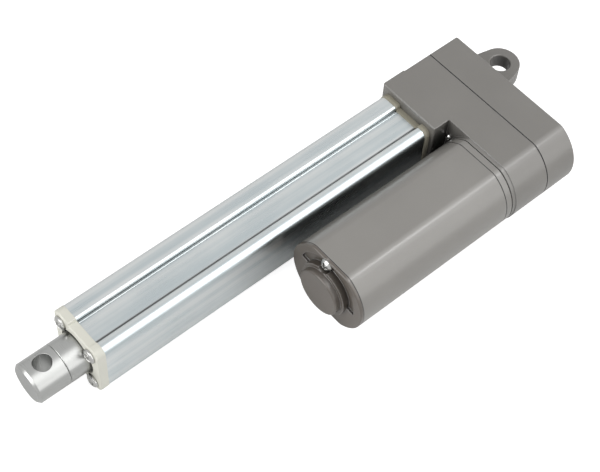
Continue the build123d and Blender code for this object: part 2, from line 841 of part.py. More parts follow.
with BuildPart() as brush_holder:
    box_start = commutator_radius + brush_box_gap
    box_reach = core_radius + brush_box_overreach
    with BuildSketch(station(holder_back)):
        add(motor_profile(motor_wall + 2 * spigot_gap))
        with Locations((motor_offset, 0)):
            Circle(bush_radius + bush_wall + spigot_gap, mode=Mode.SUBTRACT)
        with Locations(*motor_bolt_points):
            Circle(motor_bolt_shank + screw_hole_gap, mode=Mode.SUBTRACT)
    extrude(amount=holder_thickness)
    with BuildSketch(station(holder_back)):
        for side in (-1, 1):
            with Locations((motor_offset + side * (box_start + box_reach) / 2, 0)):
                Rectangle(box_reach - box_start, brush_height + 2 * brush_box_wall)
    extrude(amount=-brush_box_length)
    with BuildSketch(station(holder_back - brush_box_wall)):
        with Locations((motor_offset, 0)):
            Rectangle(2 * (box_reach - brush_box_wall), brush_height)
    extrude(amount=-brush_width, mode=Mode.SUBTRACT)
brush_holder.part.label = "brush_holder"
export_step(brush_holder.part, "parts/brush_holder.step")

with BuildPart() as brushes:
    brush_front = holder_back - brush_box_wall - brush_gap
    with BuildSketch(station(brush_front)):
        for side in (-1, 1):
            with Locations((motor_offset + side * (commutator_radius + brush_length / 2), 0)):
                Rectangle(brush_length, brush_height - 2 * brush_gap)
        with Locations((motor_offset, 0)):
            Circle(commutator_radius + brush_gap, mode=Mode.SUBTRACT)
    extrude(amount=2 * brush_gap - brush_width)
brushes.part.label = "brushes"
export_step(brushes.part, "parts/brushes.step")


# Gear train

with BuildPart() as pinion:
    with BuildSketch(station(fast_back)):
        with Locations((motor_offset, 0)):
            add(gear_profile(pinion_teeth, fast_module, 180.0))
            Circle(shaft_radius, mode=Mode.SUBTRACT)
    extrude(amount=fast_face)
pinion.part.label = "pinion"
export_step(pinion.part, "parts/pinion.step")

with BuildPart() as idler_gear:
    idler_centre = Location((idler_offset, 0))
    with BuildSketch(station(fast_back)):
        with Locations(idler_centre):
            add(gear_profile(idler_large_teeth, fast_module, tooth_space(idler_large_teeth)))
    extrude(amount=fast_face)
    with BuildSketch(station(screw_gear_back)):
        with Locations(idler_centre):
            add(gear_profile(idler_small_teeth, slow_module, 180.0))
    extrude(amount=fast_back - screw_gear_back)
    with BuildSketch(station(idler_back)):
        with Locations(idler_centre):
            Circle(idler_pin_radius + boss_wall)
    extrude(amount=fast_front + gear_end_gap - idler_back)
    with BuildSketch(station(idler_back)):
        with Locations(idler_centre):
            Circle(idler_pin_radius + running_gap)
    extrude(amount=fast_front + gear_end_gap - idler_back, mode=Mode.SUBTRACT)
idler_gear.part.label = "idler_gear"
export_step(idler_gear.part, "parts/idler_gear.step")

with BuildPart() as idler_pin:
    with BuildSketch(station(bush_seat)):
        with Locations((idler_offset, 0)):
            Circle(idler_pin_radius)
    extrude(amount=cavity_end - bush_seat)
idler_pin.part.label = "idler_pin"
export_step(idler_pin.part, "parts/idler_pin.step")

with BuildPart() as main_gear:
    with BuildSketch(station(screw_gear_back)):
        add(gear_profile(screw_gear_teeth, slow_module, tooth_space(screw_gear_teeth)))
    extrude(amount=slow_face)
    with BuildSketch(station(screw_gear_back - hub_length)):
        Circle(hub_radius)
    extrude(amount=hub_length)
    with BuildSketch(station(screw_gear_back - hub_length)):
        Circle(journal_radius)
    extrude(amount=hub_length + slow_face, mode=Mode.SUBTRACT)
    with BuildSketch(Plane.XY):
        with Locations((screw_gear_back - hub_length / 2, 0)):
            Circle(gear_pin_radius)
    extrude(amount=hub_radius, both=True, mode=Mode.SUBTRACT)
main_gear.part.label = "main_gear"
export_step(main_gear.part, "parts/main_gear.step")

with BuildPart() as gear_pin:
    with BuildSketch(Plane.XY):
        with Locations((screw_gear_back - hub_length / 2, 0)):
            Circle(gear_pin_radius)
    extrude(amount=hub_radius - gear_pin_inset, both=True)
gear_pin.part.label = "gear_pin"
export_step(gear_pin.part, "parts/gear_pin.step")


# Screw, its bearings and the nut

with BuildPart() as lead_screw:
    with BuildSketch(station(screw_rear_end)):
        Circle(journal_radius)
    extrude(amount=bearing_front - screw_rear_end)
    with BuildSketch(station(bearing_front)):
        Circle(screw_radius)
    extrude(amount=stop_washer_back - bearing_front)
    with BuildSketch(station(stop_washer_back)):
        Circle(tenon_radius)
    extrude(amount=stop_washer_length)
    chamfer(lead_screw.faces().sort_by(Axis.X)[0].edges(), screw_tip_chamfer)
    with BuildSketch(Plane.XY):
        with Locations((screw_gear_back - hub_length / 2, 0)):
            Circle(gear_pin_radius)
    extrude(amount=screw_radius, both=True, mode=Mode.SUBTRACT)
lead_screw.part.label = "lead_screw"
export_step(lead_screw.part, "parts/lead_screw.step")

with BuildPart() as screw_end_washer:
    with BuildSketch(station(stop_washer_back)):
        Circle(rod_bore_radius - running_gap)
        Circle(tenon_radius, mode=Mode.SUBTRACT)
    extrude(amount=stop_washer_length)
screw_end_washer.part.label = "screw_end_washer"
export_step(screw_end_washer.part, "parts/screw_end_washer.step")

with BuildPart() as thrust_spacer:
    with BuildSketch(station(screw_gear_front)):
        Circle(journal_radius + spacer_wall)
        Circle(journal_radius, mode=Mode.SUBTRACT)
    extrude(amount=bearing_back - screw_gear_front)
thrust_spacer.part.label = "thrust_spacer"
export_step(thrust_spacer.part, "parts/thrust_spacer.step")

with BuildPart() as screw_rear_bush:
    with BuildSketch(station(bush_seat)):
        Circle(rear_bush_radius)
        Circle(journal_radius + running_gap, mode=Mode.SUBTRACT)
    extrude(amount=rear_bush_length)
screw_rear_bush.part.label = "screw_rear_bush"
export_step(screw_rear_bush.part, "parts/screw_rear_bush.step")

# The ball bearing: two races with a groove each, the balls and their cage
ball_circle = (inner_race_radius + outer_race_radius) / 2
ball_centre = (bearing_back + bearing_width / 2, ball_circle)

with BuildPart() as bearing_outer_race:
    with BuildSketch(Plane.XY):
        with Locations((ball_centre[0], (outer_race_radius + bearing_radius) / 2)):
            Rectangle(bearing_width, bearing_radius - outer_race_radius)
        with Locations(ball_centre):
            Circle(ball_radius + running_gap, mode=Mode.SUBTRACT)
    revolve(axis=Axis.X)
bearing_outer_race.part.label = "bearing_outer_race"
export_step(bearing_outer_race.part, "parts/bearing_outer_race.step")

with BuildPart() as bearing_inner_race:
    with BuildSketch(Plane.XY):
        with Locations((ball_centre[0], (journal_radius + inner_race_radius) / 2)):
            Rectangle(bearing_width, inner_race_radius - journal_radius)
        with Locations(ball_centre):
            Circle(ball_radius + running_gap, mode=Mode.SUBTRACT)
    revolve(axis=Axis.X)
bearing_inner_race.part.label = "bearing_inner_race"
export_step(bearing_inner_race.part, "parts/bearing_inner_race.step")

with BuildPart() as bearing_balls:
    with Locations(Plane(origin=(ball_centre[0], 0, 0), z_dir=(1, 0, 0))):
        with PolarLocations(ball_circle, ball_count):
            Sphere(ball_radius)
bearing_balls.part.label = "bearing_balls"
export_step(bearing_balls.part, "parts/bearing_balls.step")

with BuildPart() as bearing_cage:
    cage_width = bearing_width - 2 * cage_setback
    with BuildSketch(station(ball_centre[0] - cage_width / 2)):
        Circle(outer_race_radius - cage_gap)
        Circle(inner_race_radius + cage_gap, mode=Mode.SUBTRACT)
    extrude(amount=cage_width)
    with Locations(Plane(origin=(ball_centre[0], 0, 0), z_dir=(1, 0, 0))):
        with PolarLocations(ball_circle, ball_count):
            Cylinder(ball_radius + running_gap, bearing_width, rotation=(0, 90, 0), mode=Mode.SUBTRACT)
bearing_cage.part.label = "bearing_cage"
export_step(bearing_cage.part, "parts/bearing_cage.step")

with BuildPart() as bearing_retaining_ring:
    with BuildSketch(station(bearing_front)):
        Circle(bearing_radius + circlip_groove)
        Circle(bearing_radius - circlip_reach, mode=Mode.SUBTRACT)
        with Locations((0, -bearing_radius)):
            Rectangle(circlip_mouth, 4 * circlip_reach, mode=Mode.SUBTRACT)
    extrude(amount=circlip_thickness)
bearing_retaining_ring.part.label = "bearing_retaining_ring"
export_step(bearing_retaining_ring.part, "parts/bearing_retaining_ring.step")

with BuildPart() as drive_nut:
    with BuildSketch(station(nut_back)):
        Circle(rod_radius)
    extrude(amount=nut_flange_length)
    with BuildSketch(station(rod_back)):
        Circle(rod_bore_radius)
    extrude(amount=nut_front - rod_back)
    chamfer(drive_nut.faces().sort_by(Axis.X)[-1].edges(), nut_chamfer)
    with BuildSketch(station(nut_back)):
        Circle(screw_radius + running_gap)
    extrude(amount=nut_length, mode=Mode.SUBTRACT)
drive_nut.part.label = "drive_nut"
export_step(drive_nut.part, "parts/drive_nut.step")

with BuildPart() as nut_guide:
    with BuildSketch(station(nut_back)):
        Circle(tube_bore_radius - running_gap)
        with Locations((0, guide_key_top / 2)):
            Rectangle(2 * (channel_half_width - channel_side_gap), guide_key_top)
        Circle(rod_radius, mode=Mode.SUBTRACT)
    extrude(amount=guide_length)
nut_guide.part.label = "nut_guide"
export_step(nut_guide.part, "parts/nut_guide.step")


# Tube, cap and rod

with BuildPart() as rear_collar:
    with BuildSketch(station(tube_seat)):
        add(collar_outer)
        Circle(tube_bore_radius, mode=Mode.SUBTRACT)
        with Locations(*tube_screw_points):
            Circle(tube_screw_shank + screw_hole_gap, mode=Mode.SUBTRACT)
    extrude(amount=collar_thickness)
rear_collar.part.label = "rear_collar"
export_step(rear_collar.part, "parts/rear_collar.step")

with BuildPart() as outer_tube:
    with BuildSketch(station(tube_back)):
        add(tube_outer)
        Circle(tube_bore_radius, mode=Mode.SUBTRACT)
        Rectangle(2 * channel_half_width, 2 * channel_floor, mode=Mode.SUBTRACT)
        with Locations(*tube_screw_points):
            Circle(tube_screw_shank + running_gap, mode=Mode.SUBTRACT)
    extrude(amount=tube_length)
outer_tube.part.label = "outer_tube"
export_step(outer_tube.part, "parts/outer_tube.step")

with BuildPart() as tube_rear_screws:
    rear_screw_seat = cavity_end + tube_screw_sink
    rear_screw_length = tube_back + tube_screw_grip - rear_screw_seat
    rear_screw = pan_screw(tube_screw_head, tube_screw_head_height, tube_screw_shank, rear_screw_length)
    with Locations(*[(rear_screw_seat, y, z) for y, z in tube_screw_points]):
        add(rear_facing(rear_screw))
tube_rear_screws.part.label = "tube_rear_screws"
export_step(tube_rear_screws.part, "parts/tube_rear_screws.step")

with BuildPart() as front_cap:
    with BuildSketch(station(tube_front)):
        add(cap_outer)
    extrude(amount=cap_thickness)
    fillet(front_cap.faces().sort_by(Axis.X)[-1].edges(), edge_round)
    with BuildSketch(station(tube_front)):
        Circle(cap_bore_radius)
        with Locations(*tube_screw_points):
            Circle(tube_screw_shank + screw_hole_gap)
    extrude(amount=cap_thickness, mode=Mode.SUBTRACT)
front_cap.part.label = "front_cap"
export_step(front_cap.part, "parts/front_cap.step")

with BuildPart() as front_cap_screws:
    cap_screw = pan_screw(
        tube_screw_head, cap_screw_height, tube_screw_shank, cap_thickness + tube_screw_grip
    )
    with Locations(*[(cap_front, y, z) for y, z in tube_screw_points]):
        add(cap_screw)
front_cap_screws.part.label = "front_cap_screws"
export_step(front_cap_screws.part, "parts/front_cap_screws.step")

with BuildPart() as rod_bush:
    with BuildSketch(station(bush_back)):
        Circle(tube_bore_radius)
        Circle(rod_radius + running_gap, mode=Mode.SUBTRACT)
    extrude(amount=rod_bush_length)
rod_bush.part.label = "rod_bush"
export_step(rod_bush.part, "parts/rod_bush.step")

with BuildPart() as wiper_seal:
    with BuildSketch(station(tube_front)):
        Circle(cap_bore_radius)
        Circle(rod_radius + running_gap, mode=Mode.SUBTRACT)
    extrude(amount=wiper_length)
wiper_seal.part.label = "wiper_seal"
export_step(wiper_seal.part, "parts/wiper_seal.step")

with BuildPart() as extension_tube:
    with BuildSketch(station(rod_back)):
        Circle(rod_radius)
    extrude(amount=eye_back - rod_back)
    chamfer(extension_tube.faces().sort_by(Axis.X)[-1].edges(), seam_chamfer)
    with BuildSketch(station(rod_back)):
        Circle(rod_bore_radius)
    extrude(amount=eye_back - rod_back, mode=Mode.SUBTRACT)
extension_tube.part.label = "extension_tube"
export_step(extension_tube.part, "parts/extension_tube.step")

with BuildPart() as rod_eye:
    with BuildSketch(station(eye_back)):
        Circle(rod_radius)
    extrude(amount=rod_tip - eye_back)
    chamfer(rod_eye.faces().sort_by(Axis.X)[0].edges(), seam_chamfer)
    chamfer(rod_eye.faces().sort_by(Axis.X)[-1].edges(), eye_chamfer)
    with BuildSketch(station(eye_back - eye_spigot_length)):
        Circle(rod_bore_radius)
    extrude(amount=eye_spigot_length)
    with BuildSketch(Plane.XY):
        with Locations((eye_hole_station, 0)):
            Circle(eye_hole_radius)
    extrude(amount=2 * rod_radius, both=True, mode=Mode.SUBTRACT)
rod_eye.part.label = "rod_eye"
export_step(rod_eye.part, "parts/rod_eye.step")


# Limit switches

with BuildPart() as switch_board:
    with BuildSketch(Plane.XY.offset(-channel_floor)):
        with Locations(((rear_switch_front + front_switch_back) / 2, 0)):
            Rectangle(
                front_switch_back - rear_switch_front + 2 * switch_length,
                2 * (channel_half_width - channel_side_gap),
            )
    extrude(amount=board_thickness)
switch_board.part.label = "switch_board"
export_step(switch_board.part, "parts/switch_board.step")

with BuildPart() as limit_switches:
    switch_bodies = [
        (rear_switch_front - switch_length / 2, rear_switch_front, -1),
        (front_switch_back + switch_length / 2, front_switch_back, 1),
    ]
    with BuildSketch(Plane.XY.offset(board_thickness - channel_floor)):
        with Locations(*[(middle, 0) for middle, mouth, inward in switch_bodies]):
            Rectangle(switch_length, 2 * switch_half_width)
    extrude(amount=switch_height)
    for middle, mouth, inward in switch_bodies:
        with BuildSketch(station(mouth)):
            with Locations((0, switch_level)):
                Circle(plunger_radius + running_gap)
        extrude(
            amount=inward * (plunger_grip + plunger_travel + switch_floor_gap), mode=Mode.SUBTRACT
        )
limit_switches.part.label = "limit_switches"
export_step(limit_switches.part, "parts/limit_switches.step")

with BuildPart() as rear_plunger:
    with BuildSketch(station(rear_switch_front + plunger_reach)):
        with Locations((0, switch_level)):
            Circle(plunger_radius)
    extrude(amount=-plunger_length)
rear_plunger.part.label = "rear_plunger"
export_step(rear_plunger.part, "parts/rear_plunger.step")

with BuildPart() as front_plunger:
    with BuildSketch(station(front_switch_back - plunger_reach)):
        with Locations((0, switch_level)):
            Circle(plunger_radius)
    extrude(amount=plunger_length)
front_plunger.part.label = "front_plunger"
export_step(front_plunger.part, "parts/front_plunger.step")
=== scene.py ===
"""Electric linear actuator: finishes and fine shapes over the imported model, laid out as an add-on."""

from math import radians

import bmesh
import bpy
import numpy as np
from bpy.props import FloatProperty, FloatVectorProperty, IntProperty, PointerProperty
from mathutils import Euler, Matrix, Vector


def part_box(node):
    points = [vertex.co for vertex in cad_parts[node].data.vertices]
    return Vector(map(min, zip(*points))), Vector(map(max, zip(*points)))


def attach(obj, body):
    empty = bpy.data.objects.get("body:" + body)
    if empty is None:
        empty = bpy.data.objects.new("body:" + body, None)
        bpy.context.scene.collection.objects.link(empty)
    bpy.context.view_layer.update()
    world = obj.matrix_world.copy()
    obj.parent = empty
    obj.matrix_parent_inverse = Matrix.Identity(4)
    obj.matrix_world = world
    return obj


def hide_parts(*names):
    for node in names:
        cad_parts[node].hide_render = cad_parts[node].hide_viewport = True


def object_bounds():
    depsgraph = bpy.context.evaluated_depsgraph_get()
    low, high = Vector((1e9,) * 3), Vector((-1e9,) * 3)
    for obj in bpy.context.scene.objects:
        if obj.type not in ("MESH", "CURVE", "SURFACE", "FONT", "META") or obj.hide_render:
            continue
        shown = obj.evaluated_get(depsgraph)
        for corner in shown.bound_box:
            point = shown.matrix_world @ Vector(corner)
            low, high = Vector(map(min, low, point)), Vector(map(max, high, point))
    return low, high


bl_info = {
    "name": "Electric Linear Actuator",
    "version": (1, 0, 0),
    "blender": (4, 5, 0),
    "location": "View3D > Sidebar > Actuator",
    "description": "Dresses the packed actuator with its finishes and fine surfaces",
    "category": "Object",
}

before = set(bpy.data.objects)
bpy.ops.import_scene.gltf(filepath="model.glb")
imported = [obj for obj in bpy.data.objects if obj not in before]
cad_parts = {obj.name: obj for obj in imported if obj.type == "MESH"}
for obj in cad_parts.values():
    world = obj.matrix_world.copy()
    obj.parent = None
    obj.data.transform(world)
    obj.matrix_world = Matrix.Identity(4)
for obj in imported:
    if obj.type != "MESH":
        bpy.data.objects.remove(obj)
CAD_BOX = [list(corner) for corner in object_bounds()]
# One millimetre, since the frame is in metres
MM = 0.001
WHITE = (1.0, 1.0, 1.0)
# How near a thing must stand to close a gap that is painted in shade
GAP_REACH = 12.0 * MM


# Wires: arithmetic on shader sockets

class Wire:
    """An output socket with Python's operators; each one adds a Math node."""

    def __init__(self, bench, socket):
        self.bench = bench
        self.socket = socket

    def __add__(self, other):
        return self.bench.math("ADD", self, other)

    def __radd__(self, other):
        return self.bench.math("ADD", other, self)

    def __sub__(self, other):
        return self.bench.math("SUBTRACT", self, other)

    def __rsub__(self, other):
        return self.bench.math("SUBTRACT", other, self)

    def __mul__(self, other):
        return self.bench.math("MULTIPLY", self, other)

    def __rmul__(self, other):
        return self.bench.math("MULTIPLY", other, self)

    def __abs__(self):
        return self.bench.math("ABSOLUTE", self)


class Bench:
    """The node tree of one material or world, and the one method that adds nodes to it."""

    def __init__(self, owner):
        owner.use_nodes = True
        self.tree = owner.node_tree
        self.tree.nodes.clear()

    def node(self, kind, settings=None, inputs=None, output=0):
        """Adds a node: settings first, then the values or wires of its sockets. Gives the output that is
        asked for by its name or place, if the node has any."""
        node = self.tree.nodes.new(kind)
        for name, value in (settings or {}).items():
            setattr(node, name, value)
        for name, value in (inputs or {}).items():
            self.feed(node.inputs[name], value)
        return Wire(self, node.outputs[output]) if len(node.outputs) else None

    def feed(self, socket, value):
        """Links a wire to a socket, or writes a plain value on it."""
        if isinstance(value, Wire):
            self.tree.links.new(value.socket, socket)
        elif socket.type == "RGBA" and len(value) == 3:
            socket.default_value = (*value, 1.0)
        else:
            socket.default_value = value

    def math(self, operation, *values):
        """Arithmetic on wires and numbers."""
        return self.node("ShaderNodeMath", {"operation": operation}, dict(enumerate(values)))

    def clamp(self, value):
        """A value kept between 0 and 1."""
        return self.math("MINIMUM", self.math("MAXIMUM", value, 0.0), 1.0)

    def step(self, value, low, high):
        """0 below low, 1 above high and a smooth ramp between them."""
        return self.node(
            "ShaderNodeMapRange",
            {"interpolation_type": "SMOOTHSTEP"},
            {"Value": value, "From Min": low, "From Max": high},
        )

    def blend(self, factor, first, second):
        """A colour between two colours. The node's sockets share their names, so they go by place."""
        return self.node("ShaderNodeMix", {"data_type": "RGBA"}, {0: factor, 6: first, 7: second}, 2)

    def place(self, scale=(1.0, 1.0, 1.0)):
        """Object coordinates, scaled along each axis."""
        here = self.node("ShaderNodeTexCoord", output="Object")
        return self.node("ShaderNodeVectorMath", {"operation": "MULTIPLY"}, {0: here, 1: scale})

    def noise(self, vector, scale, detail=3.0, roughness=0.5):
        """Cloudy noise around a half."""
        return self.node(
            "ShaderNodeTexNoise",
            inputs={"Vector": vector, "Scale": scale, "Detail": detail, "Roughness": roughness},
        )

    def bump(self, height, distance, strength, normal=None):
        """A normal tilted by a height, over a distance in metres."""
        inputs = {"Height": height, "Distance": distance, "Strength": strength}
        if normal is not None:
            inputs["Normal"] = normal
        return self.node("ShaderNodeBump", inputs=inputs)

    def soft_edge(self, radius):
        """The surface's normal, rounded over its edges by a radius in metres."""
        return self.node("ShaderNodeBevel", {"samples": 6}, {"Radius": radius})

    def edge_mask(self, rounded):
        """1 along the edges that a rounded normal turns away from, 0 on open faces."""
        flat = self.node("ShaderNodeNewGeometry", output="Normal")
        facing = self.node(
            "ShaderNodeVectorMath", {"operation": "DOT_PRODUCT"}, {0: rounded, 1: flat}, "Value"
        )
        return self.step(1.0 - facing, 0.02, 0.2)

    def open_air(self, shut, free):
        """1 on open faces and 0 in gaps: a ramp between two shares of the view that nothing near blocks."""
        inputs = {"Distance": GAP_REACH}
        share = self.node("ShaderNodeAmbientOcclusion", {"samples": 8}, inputs, "AO")
        return self.step(share, shut, free)

    def line_mask(self, axis, middle, inner, outer):
        """0 nearer to a place along an axis than inner, and 1 further off than outer."""
        along = self.node("ShaderNodeSeparateXYZ", inputs={0: self.place()}, output=axis)
        return self.step(abs(along - middle), inner, outer)

    def rays(self):
        """1 for the camera's rays, for those mirrored in a surface and for those that pass through one."""
        names = ("Is Camera Ray", "Is Glossy Ray", "Is Transmission Ray")
        return [self.node("ShaderNodeLightPath", output=name) for name in names]

    def surface(self, **inputs):
        """A principled surface, wired to the material's output. Its sockets are named in small letters."""
        named = {name.replace("_", " ").title().replace("Ior", "IOR"): v for name, v in inputs.items()}
        shader = self.node("ShaderNodeBsdfPrincipled", inputs=named)
        self.node("ShaderNodeOutputMaterial", inputs={"Surface": shader})


def material(name, recipe, *values):
    """A new material whose nodes a recipe lays out on its bench."""
    made = bpy.data.materials.new(name)
    recipe(Bench(made), *values)
    return made


# Finishes

def tint(colour, *levels):
    """A colour made darker or brighter, by one level for all three parts or by one for each."""
    if len(levels) == 1:
        levels = levels * 3
    return [min(1.0, level * part) for level, part in zip(levels, colour)]


def satin_paint(bench, colour, grain, wear_and_highlight_lift, seams):
    """Sprayed satin paint on a casting: fine orange peel, cloudy tone, edges painted paler as wear and as a
    painted highlight, painted shade in deep corners and dark seams of painted shade and dirt.

    Grain is the scale of the peel and wear and highlight lift is how much paler the edges are painted. A
    seam is a place along x and the half width of the painted shade and dirt along it."""
    here = bench.place()
    cloud = bench.noise(here, 45.0, 4.0)
    peel = bench.noise(here, grain, 2.0)
    rounded = bench.soft_edge(0.6 * MM)
    edge = bench.edge_mask(rounded)
    clear_of_shade_and_dirt = 1.0
    # Painted shade and dirt: the colour darkens along each seam
    for middle, half_width in seams:
        clear_of_shade_and_dirt = clear_of_shade_and_dirt * bench.line_mask("X", middle, 0.6 * half_width, 1.5 * half_width)
    tone = bench.blend(cloud, tint(colour, 0.92), tint(colour, 1.08))
    # Painted shade: the colour falls far where near things close the view, in gaps and deep corners
    tone = bench.blend(bench.open_air(0.15, 0.75), tint(colour, 0.12), tone)
    # Edges painted paler: worn paint and a painted highlight
    worn_and_highlit = bench.blend(edge * 0.7, tone, [min(1.0, part + wear_and_highlight_lift) for part in colour])
    bench.surface(
        base_color=bench.blend(clear_of_shade_and_dirt, tint(colour, 0.06), worn_and_highlit),
        roughness=0.25 + 0.1 * cloud - 0.05 * edge,
        specular_ior_level=0.8,
        normal=bench.bump(peel, 0.02 * MM, 0.35, rounded),
    )


def drawn_aluminium(bench, colour, grooves):
    """Bright extruded aluminium: broad pale bands and bluish ones whose blue is a painted reflection,
    hair-fine lines along the tube, grooves in its recess darkened by painted shade and dirt, and a painted
    dark reflection and shade on the side in the gap beside the motor.

    A groove is its y, its half width and the depth of its dark tone of painted shade and dirt."""
    lines = bench.noise(bench.place((1.5, 900.0, 900.0)), 3.0, 4.0, 0.6)
    bands = bench.noise(bench.place((1.2, 190.0, 190.0)), 1.0, 3.0, 0.55)
    marks = bench.noise(bench.place((1.0, 2.0, 2.0)), 35.0, 3.0)
    # Painted shade and dirt: a dark line along each groove
    clear_of_shade_and_dirt = 1.0
    for middle, half_width, depth in grooves:
        line = bench.line_mask("Y", middle, 0.3 * half_width, 1.3 * half_width)
        clear_of_shade_and_dirt = clear_of_shade_and_dirt * (1.0 - depth * (1.0 - line))
    rounded = bench.soft_edge(0.2 * MM)
    # The blue of these bands is a painted reflection of the surroundings
    painted_blue_reflection = tint(colour, 0.86, 0.92, 0.95)
    tone = bench.blend(bench.step(bands * 0.8 + marks * 0.2, 0.36, 0.62), painted_blue_reflection, tint(colour, 1.14))
    # Painted dark reflection and shade: darker where near things close the view, as beside the motor
    tone = bench.blend(bench.open_air(0.0, 0.55), tint(colour, 0.3), tone)
    bench.surface(
        base_color=bench.blend(clear_of_shade_and_dirt, tint(colour, 0.2), tone),
        metallic=1.0,
        roughness=0.2 + 0.1 * lines + 0.08 * marks,
        normal=bench.bump(lines, 0.004 * MM, 0.5, rounded),
    )


def ground_steel(bench, colour):
    """Turned and ground steel: fine rings about the rod and a slight blush."""
    rings = bench.noise(bench.place((2600.0, 3.0, 3.0)), 1.0, 3.0, 0.6)
    blush = bench.noise(bench.place(), 60.0, 3.0)
    rounded = bench.soft_edge(0.3 * MM)
    bench.surface(
        base_color=bench.blend(blush, tint(colour, 0.9), colour),
        metallic=1.0,
        roughness=0.2 + 0.1 * rings + 0.08 * blush,
        normal=bench.bump(rings, 0.004 * MM, 0.6, rounded),
    )


def bright_plate(bench, colour):
    """Zinc-plated fasteners: bright, with a faint mottle."""
    mottle = bench.noise(bench.place(), 400.0, 3.0)
    bench.surface(
        base_color=bench.blend(mottle, tint(colour, 0.85), colour),
        metallic=1.0,
        roughness=0.14 + 0.12 * mottle,
        normal=bench.soft_edge(0.15 * MM),
    )


def moulded_plastic(bench, colour, roughness):
    """Moulded plastic: a fine spark-eroded grain and a slight change of tone."""
    here = bench.place()
    grain = bench.noise(here, 2400.0, 2.0)
    tone = bench.noise(here, 70.0, 3.0)
    rounded = bench.soft_edge(0.35 * MM)
    bench.surface(
        base_color=bench.blend(tone, tint(colour, 0.93), colour),
        roughness=roughness + 0.1 * grain,
        normal=bench.bump(grain, 0.01 * MM, 0.5, rounded),
    )


def soft_rubber(bench, colour):
    """Black rubber with a dull bloom."""
    bloom = bench.noise(bench.place(), 300.0, 4.0)
    bench.surface(
        base_color=bench.blend(bloom, colour, tint(colour, 2.2)),
        roughness=0.62 + 0.2 * bloom,
        normal=bench.bump(bloom, 0.02 * MM, 0.4),
    )


def cast_metal(bench, colour, metallic, roughness):
    """Metal inside the casing: oiled and slightly mottled."""
    mottle = bench.noise(bench.place(), 220.0, 4.0)
    bench.surface(
        base_color=bench.blend(mottle, tint(colour, 0.8), colour),
        metallic=metallic,
        roughness=roughness + 0.15 * mottle,
        normal=bench.bump(mottle, 0.01 * MM, 0.4),
    )


# Settings that a user would change

class ActuatorFinishes(bpy.types.PropertyGroup):
    """Colours of the actuator's finishes."""

    casting: FloatVectorProperty(
        name="Casting", description="Paint of the gearbox block", subtype="COLOR", size=3,
        min=0.0, max=1.0, default=(0.18, 0.172, 0.159),
    )
    motor: FloatVectorProperty(
        name="Motor", description="Paint of the motor's shell", subtype="COLOR", size=3,
        min=0.0, max=1.0, default=(0.225, 0.216, 0.201),
    )
    # The end cap's paint is darker than the shell's as painted shade on the end that faces away from the
    # lamps
    end_cap: FloatVectorProperty(
        name="End Cap", description="Paint of the motor's end cap", subtype="COLOR", size=3,
        min=0.0, max=1.0, default=(0.098, 0.083, 0.069),
    )
    tube: FloatVectorProperty(
        name="Tube", description="Aluminium of the outer tube", subtype="COLOR", size=3,
        min=0.0, max=1.0, default=(0.56, 0.578, 0.576),
    )
    rod: FloatVectorProperty(
        name="Rod", description="Steel of the rod and its eye", subtype="COLOR", size=3,
        min=0.0, max=1.0, default=(0.42, 0.425, 0.415),
    )
    cap: FloatVectorProperty(
        name="Cap", description="Cream plastic of the tube's cap", subtype="COLOR", size=3,
        min=0.0, max=1.0, default=(0.68, 0.675, 0.6),
    )
    # The collar is the cap's cream plastic, made darker as painted shade
    collar: FloatVectorProperty(
        name="Collar", description="Darker plastic between tube and gearbox", subtype="COLOR", size=3,
        min=0.0, max=1.0, default=(0.33, 0.31, 0.245),
    )
    fastener: FloatVectorProperty(
        name="Fastener", description="Plating of the screws", subtype="COLOR", size=3,
        min=0.0, max=1.0, default=(0.5, 0.5, 0.485),
    )
    rubber: FloatVectorProperty(
        name="Rubber", description="Seals and gaskets", subtype="COLOR", size=3,
        min=0.0, max=1.0, default=(0.012, 0.012, 0.012),
    )


class ActuatorShapes(bpy.types.PropertyGroup):
    """Sizes of the fine shapes that the finished surfaces add."""

    recess_near: FloatProperty(
        name="Recess Near", description="The recess's foot on the motor's side, from the tube's axis",
        unit="LENGTH", default=9.8 * MM,
    )
    recess_far: FloatProperty(
        name="Recess Far", description="The recess's foot on the far side, from the tube's axis",
        unit="LENGTH", default=-5.0 * MM,
    )
    recess_depth: FloatProperty(
        name="Recess Depth", description="Depth of the recess above and below", unit="LENGTH",
        min=0.0, default=2.3 * MM,
    )
    tube_bore: FloatProperty(
        name="Tube Bore", description="Radius of the tube's bore", unit="LENGTH", min=0.0, default=11.2 * MM,
    )
    groove_depth: FloatProperty(
        name="Groove Depth", description="Depth of the fine grooves along the tube", unit="LENGTH",
        min=0.0, max=1.0 * MM, default=0.35 * MM,
    )
    arc_steps: IntProperty(
        name="Arc Steps", description="Points on each rounded corner", min=4, max=32, default=12,
    )


